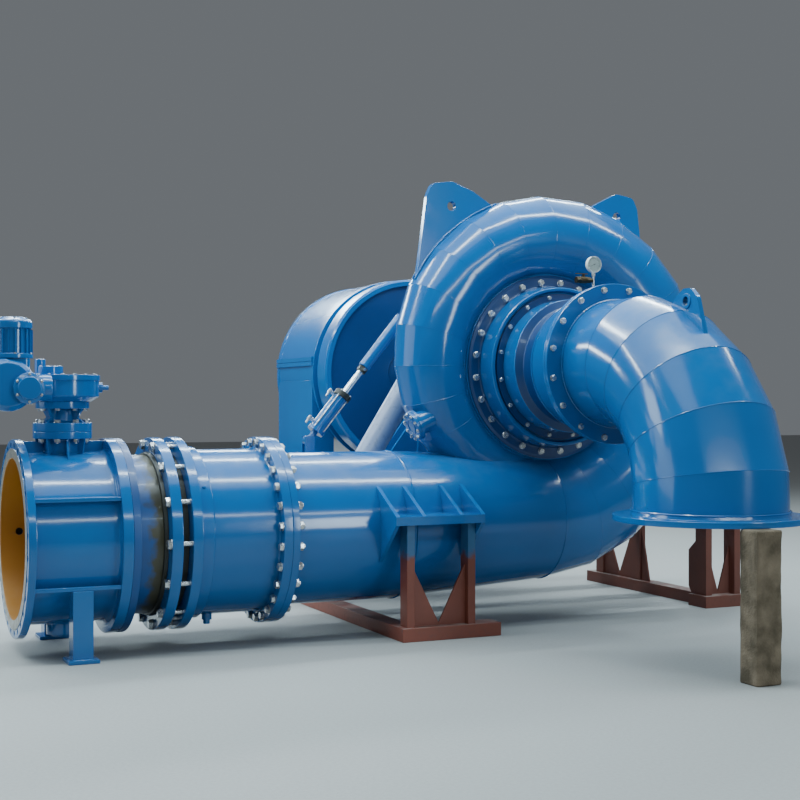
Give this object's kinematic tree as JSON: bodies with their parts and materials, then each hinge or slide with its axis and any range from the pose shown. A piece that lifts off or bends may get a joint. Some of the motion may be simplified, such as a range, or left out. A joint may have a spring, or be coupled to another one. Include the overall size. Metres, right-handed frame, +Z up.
{
  "type": "horizontal spiral case water turbine unit",
  "caption": "Water turbine unit with a horizontal shaft: inlet butterfly valve, dismantling joint, spiral case, draft elbow, regulating gear and generator drum on a steel bed.",
  "frame": {"origin": "centre of the footprint, on the floor", "axes": "+X along the inlet pipe, from the inlet valve towards the spiral case; +Y along the shaft, from the draft elbow towards the generator; +Z up"},
  "size_m": [5.12, 5.54, 2.815],
  "materials": {
    "blue_paint": "glossy mid-blue paint over castings and welded plate",
    "dark_blue_paint": "satin dark-blue paint",
    "primer_paint": "matt red-brown primer",
    "bright_steel": "machined or galvanised steel",
    "oiled_steel": "bare steel under dark oil",
    "chrome": "hard chrome on the servomotor rod",
    "dark_brass": "dulled brass",
    "gauge_plate": "steel case with a pale dial",
    "concrete": "rough cast concrete, mottled"
  },
  "bodies": {
    "unit": {"valve_body": "blue_paint", "valve_foot_front": "blue_paint", "valve_foot_back": "blue_paint", "stem_housing": "blue_paint", "gearbox": "blue_paint", "actuator_body": "blue_paint", "actuator_motor": "blue_paint", "actuator_cover": "blue_paint", "joint_inner_pipe": "oiled_steel", "gland_flange": "blue_paint", "joint_sleeve": "blue_paint", "inlet_pipe": "blue_paint", "spiral_inlet_taper": "blue_paint", "case_lower_right": "blue_paint", "case_upper_right": "blue_paint", "case_upper_left": "blue_paint", "case_lower_left": "blue_paint", "stay_ring": "dark_blue_paint", "lifting_lug_left": "blue_paint", "lifting_lug_right": "blue_paint", "manhole_neck": "blue_paint", "manhole_cover": "blue_paint", "front_cover": "blue_paint", "cover_ring": "blue_paint", "draft_cone": "blue_paint", "head_cover": "blue_paint", "draft_elbow_upper": "blue_paint", "draft_elbow_lower": "blue_paint", "elbow_flange": "blue_paint", "elbow_lug": "blue_paint", "pressure_gauge": "gauge_plate", "gauge_cock": "dark_brass", "servo_cylinder": "blue_paint", "servo_stand": "blue_paint", "balance_pipe": "blue_paint", "shaft": "bright_steel", "bearing_pedestal": "blue_paint", "drum_lip": "blue_paint", "drum_face": "dark_blue_paint", "drum_shell": "blue_paint", "drum_foot_left": "blue_paint", "drum_foot_right": "blue_paint", "case_foot_left": "blue_paint", "case_foot_right": "blue_paint", "trestle_left": "primer_paint", "trestle_right": "primer_paint", "trestle_rear": "primer_paint", "bed_frame": "dark_blue_paint", "concrete_pillar": "concrete"},
    "valve_rotor": {"valve_disc": "dark_blue_paint", "valve_stem": "bright_steel"},
    "regulating_ring": {"regulating_ring": "blue_paint"},
    "servo_rod": {"servo_rod": "chrome", "servo_link": "blue_paint"}
  },
  "joints": [
    {"name": "valve_turn", "type": "hinge", "parent": "unit", "child": "valve_rotor", "pos_m": [-2.07, -0.28, 0.64], "axis": [0, 0, 1], "range_deg": [0, 90]},
    {"name": "ring_turn", "type": "hinge", "parent": "unit", "child": "regulating_ring", "pos_m": [1.02, 0.47, 1.635], "axis": [0, 1, 0], "range_deg": [-8, 8]},
    {"name": "servo_slide", "type": "slide", "parent": "unit", "child": "servo_rod", "axis": [0.632, 0, 0.7749], "range_m": [-0.1, 0.1]}
  ],
  "couplings": [
    {"joint": "servo_slide", "follows": "ring_turn", "m_per_rad": 0.715}
  ]
}
